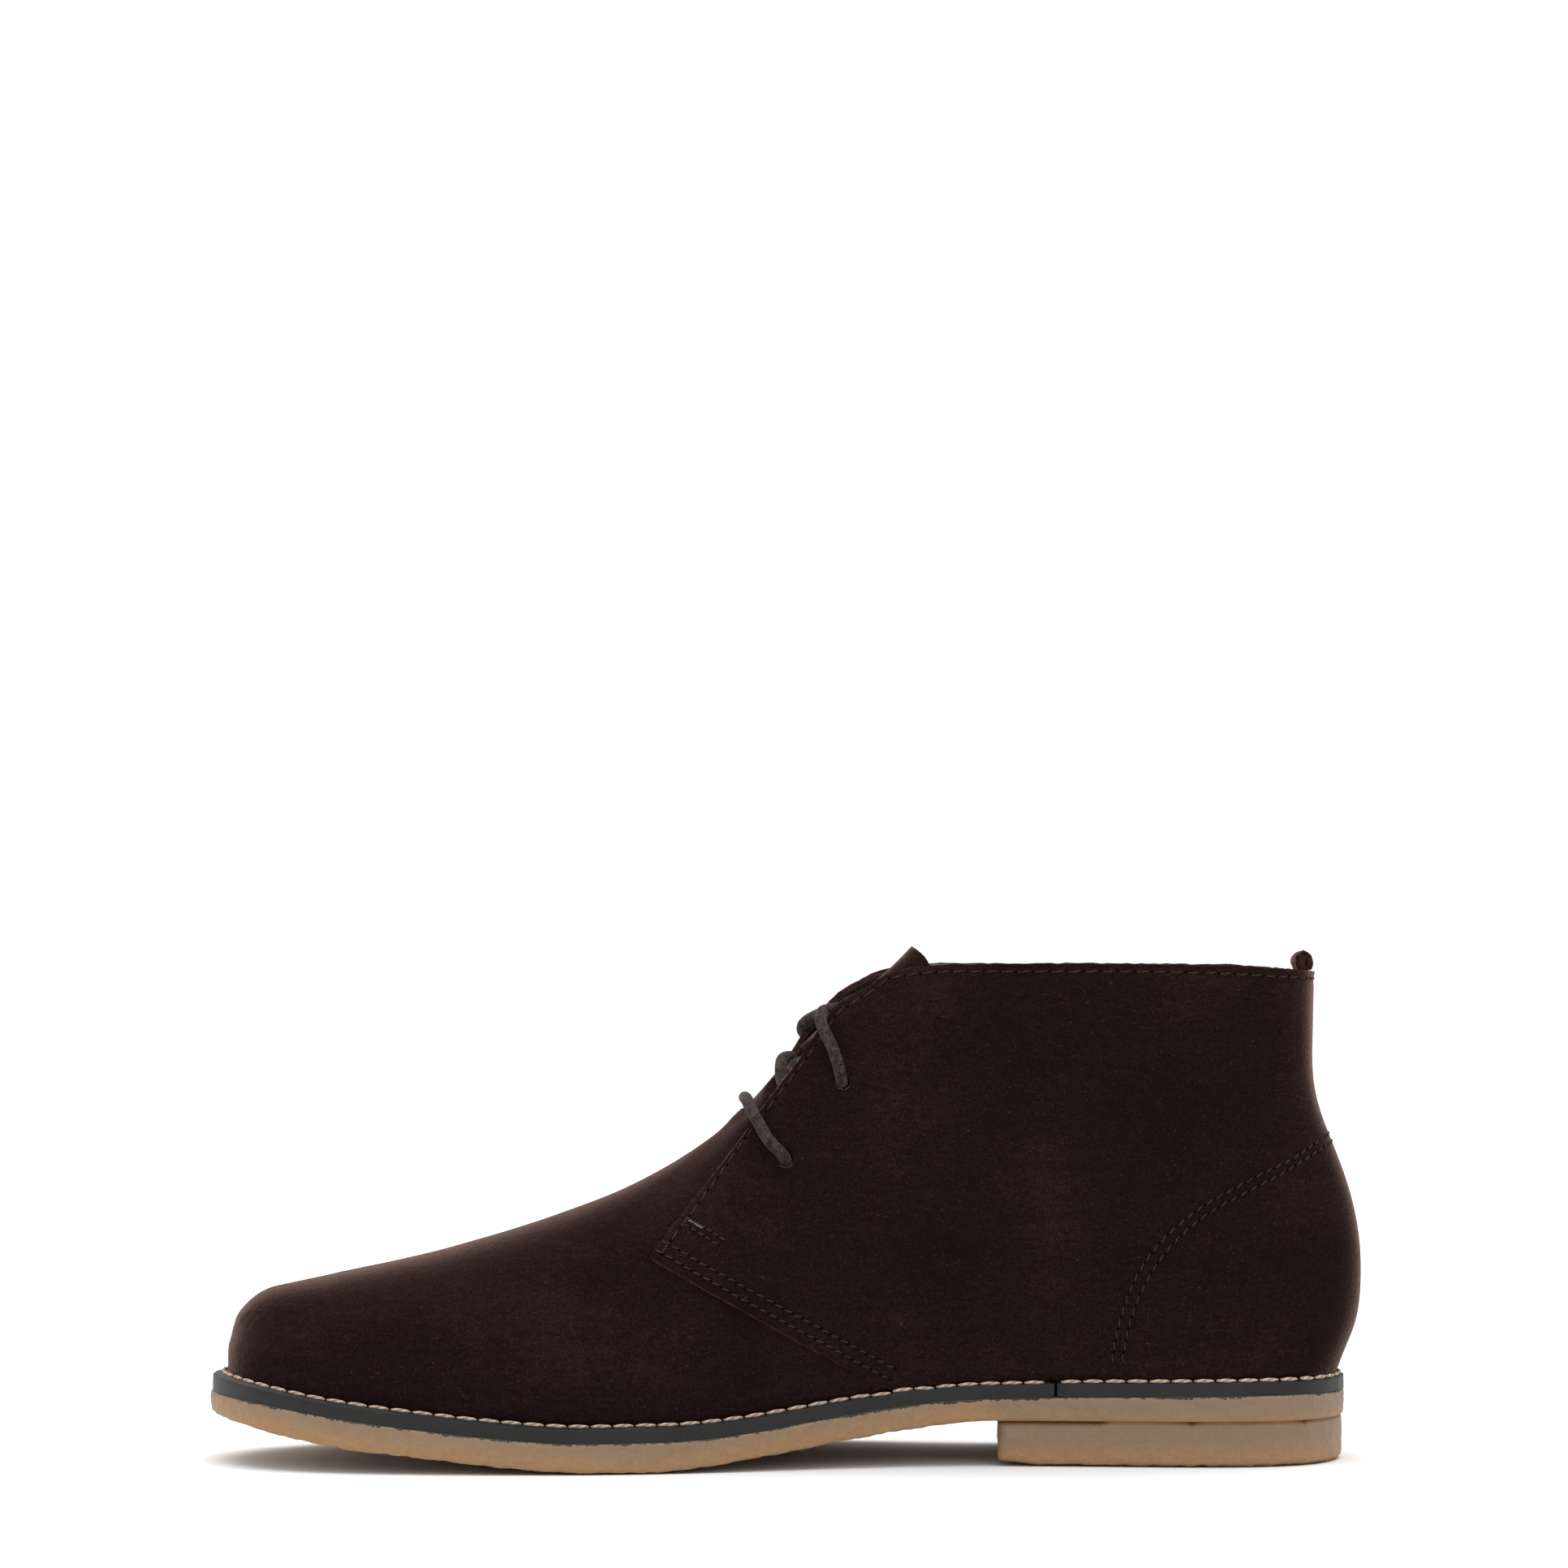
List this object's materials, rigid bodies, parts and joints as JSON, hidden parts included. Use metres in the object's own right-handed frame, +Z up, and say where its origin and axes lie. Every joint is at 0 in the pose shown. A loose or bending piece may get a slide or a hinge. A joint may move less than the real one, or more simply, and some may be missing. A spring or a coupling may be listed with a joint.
{
  "type": "desert boot",
  "caption": "Brown suede lace-up ankle boot on a gum rubber sole, with a stitched charcoal welt, a tongue and a low heel.",
  "frame": {"origin": "middle of the boot's plan box, on the ground plane under the heel and the ball of the foot", "axes": "-X to the toe, +X to the heel, -Y to the inner (medial) side, +Z up"},
  "size_m": [0.302, 0.1063, 0.1341],
  "materials": {
    "gum_rubber": "satin",
    "charcoal_welt": "satin",
    "tan_leather": "matt",
    "brown_suede": "napped",
    "waxed_cotton": "matt"
  },
  "bodies": {
    "root": {"outsole": "gum_rubber", "heel_block": "gum_rubber", "welt": "charcoal_welt", "insole": "tan_leather", "upper": "brown_suede", "tongue": "brown_suede", "pull_loop": "brown_suede", "lace_bar": "waxed_cotton", "lace_cross": "waxed_cotton", "lace_end_inner": "waxed_cotton", "lace_end_outer": "waxed_cotton"}
  },
  "joints": []
}
